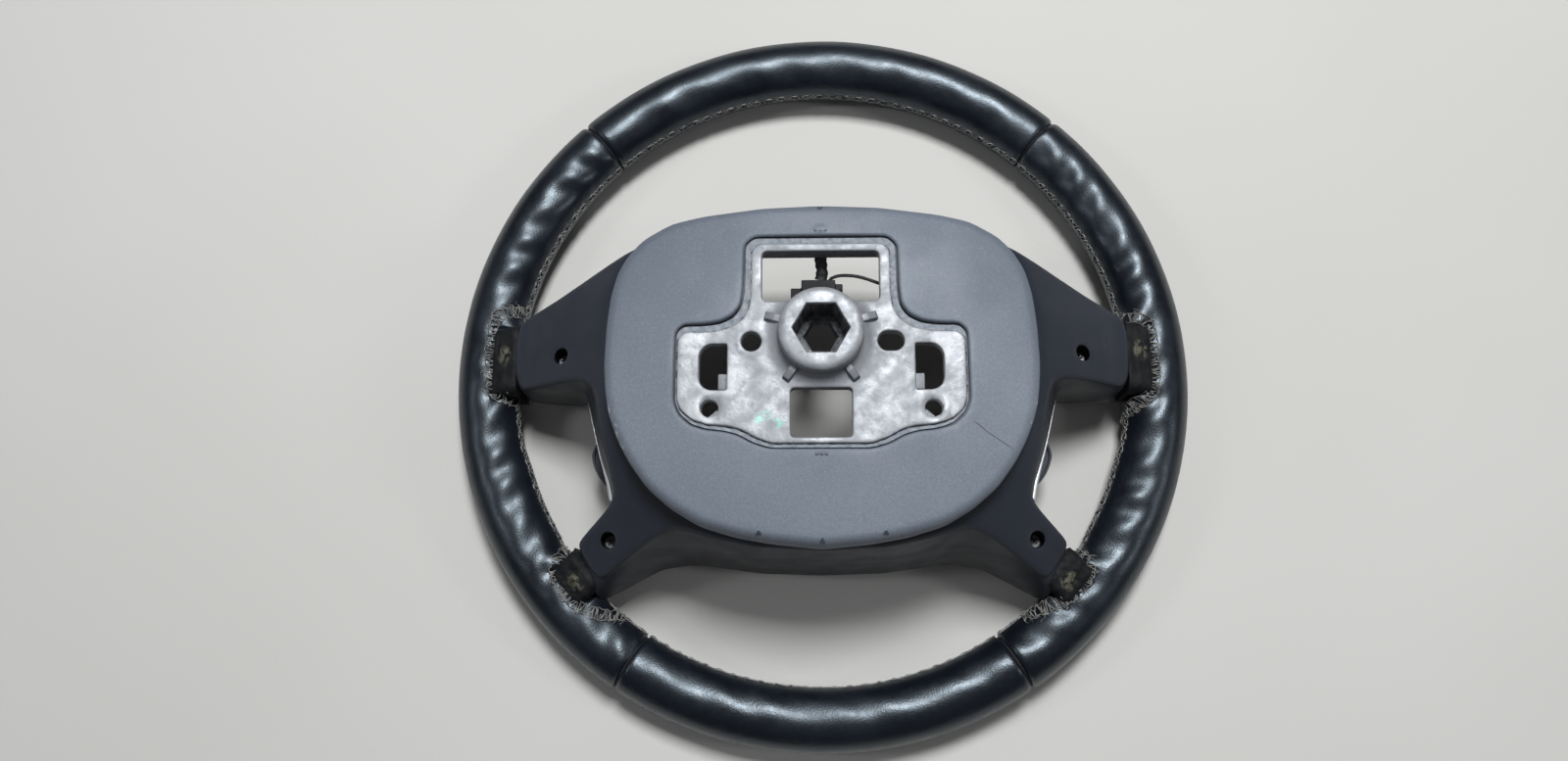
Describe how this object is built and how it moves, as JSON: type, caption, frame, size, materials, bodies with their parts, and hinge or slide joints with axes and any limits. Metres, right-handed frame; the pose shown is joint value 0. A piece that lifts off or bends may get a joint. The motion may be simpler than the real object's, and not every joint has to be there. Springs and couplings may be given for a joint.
{
  "type": "car steering wheel",
  "caption": "Leather-wrapped four-spoke car steering wheel without its airbag, shown from the back, with a cast hub plate and a hexagonal column socket.",
  "frame": {"origin": "on the wheel's axis, in the plane that the front of the rim rests on", "axes": "+Z along the wheel's axis towards the steering column (the back of the wheel), +Y to 12 o'clock, +X to the right of someone who looks at the back"},
  "size_m": [0.38, 0.38, 0.112],
  "materials": {
    "magnesium": "bright die-cast magnesium, matte with small casting marks",
    "rim_foam": "dark self-skinned polyurethane foam",
    "leather": "blue-black satin leather, fine grain, polished where hands hold it",
    "thread": "dull grey waxed thread",
    "black_plastic": "charcoal moulded plastic with a fine grain",
    "grey_plastic": "bluish grey moulded plastic, fine matte grain",
    "screw_steel": "zinc-plated",
    "satin_silver": "satin silver paint on plastic",
    "button_plastic": "soft-touch black",
    "circuit_board": "green solder mask",
    "switch_rubber": "grey silicone",
    "connector_plastic": "black moulded nylon",
    "wire_tape": "black cloth tape and insulation"
  },
  "bodies": {
    "wheel": {"armature": "magnesium", "rim_core": "magnesium", "rim_foam": "rim_foam", "leather_top": "leather", "leather_left": "leather", "leather_right": "leather", "leather_bottom": "leather", "seam_thread": "thread", "lacing_upper_left": "thread", "lacing_upper_right": "thread", "lacing_lower_left": "thread", "lacing_lower_right": "thread", "rear_spoke_cover": "black_plastic", "rear_hub_cover": "grey_plastic", "cover_screws": "screw_steel", "bezel_left": "satin_silver", "bezel_right": "satin_silver", "lower_front_trim": "black_plastic", "switch_housing_left": "black_plastic", "switch_housing_right": "black_plastic", "switch_board_left": "circuit_board", "switch_board_right": "circuit_board", "switch_mat_left": "switch_rubber", "switch_mat_right": "switch_rubber", "switch_plug_left": "connector_plastic", "switch_plug_right": "connector_plastic", "harness_main": "wire_tape", "harness_left": "wire_tape", "harness_right": "wire_tape", "horn_lead": "wire_tape", "loom_connector": "connector_plastic", "connector_latch": "connector_plastic"},
    "speed_up_button": {"speed_up_button": "button_plastic"},
    "speed_down_button": {"speed_down_button": "button_plastic"},
    "resume_button": {"resume_button": "button_plastic"},
    "cancel_button": {"cancel_button": "button_plastic"},
    "volume_up_button": {"volume_up_button": "button_plastic"},
    "volume_down_button": {"volume_down_button": "button_plastic"},
    "track_next_button": {"track_next_button": "button_plastic"},
    "track_back_button": {"track_back_button": "button_plastic"}
  },
  "joints": [
    {"name": "speed_up_press", "type": "slide", "parent": "wheel", "child": "speed_up_button", "axis": [0, 0, 1], "range_m": [0, 0.001], "stiffness_N_per_m": 2500},
    {"name": "speed_down_press", "type": "slide", "parent": "wheel", "child": "speed_down_button", "axis": [0, 0, 1], "range_m": [0, 0.001], "stiffness_N_per_m": 2500},
    {"name": "resume_press", "type": "slide", "parent": "wheel", "child": "resume_button", "axis": [0, 0, 1], "range_m": [0, 0.001], "stiffness_N_per_m": 2500},
    {"name": "cancel_press", "type": "slide", "parent": "wheel", "child": "cancel_button", "axis": [0, 0, 1], "range_m": [0, 0.001], "stiffness_N_per_m": 2500},
    {"name": "volume_up_press", "type": "slide", "parent": "wheel", "child": "volume_up_button", "axis": [0, 0, 1], "range_m": [0, 0.001], "stiffness_N_per_m": 2500},
    {"name": "volume_down_press", "type": "slide", "parent": "wheel", "child": "volume_down_button", "axis": [0, 0, 1], "range_m": [0, 0.001], "stiffness_N_per_m": 2500},
    {"name": "track_next_press", "type": "slide", "parent": "wheel", "child": "track_next_button", "axis": [0, 0, 1], "range_m": [0, 0.001], "stiffness_N_per_m": 2500},
    {"name": "track_back_press", "type": "slide", "parent": "wheel", "child": "track_back_button", "axis": [0, 0, 1], "range_m": [0, 0.001], "stiffness_N_per_m": 2500}
  ]
}
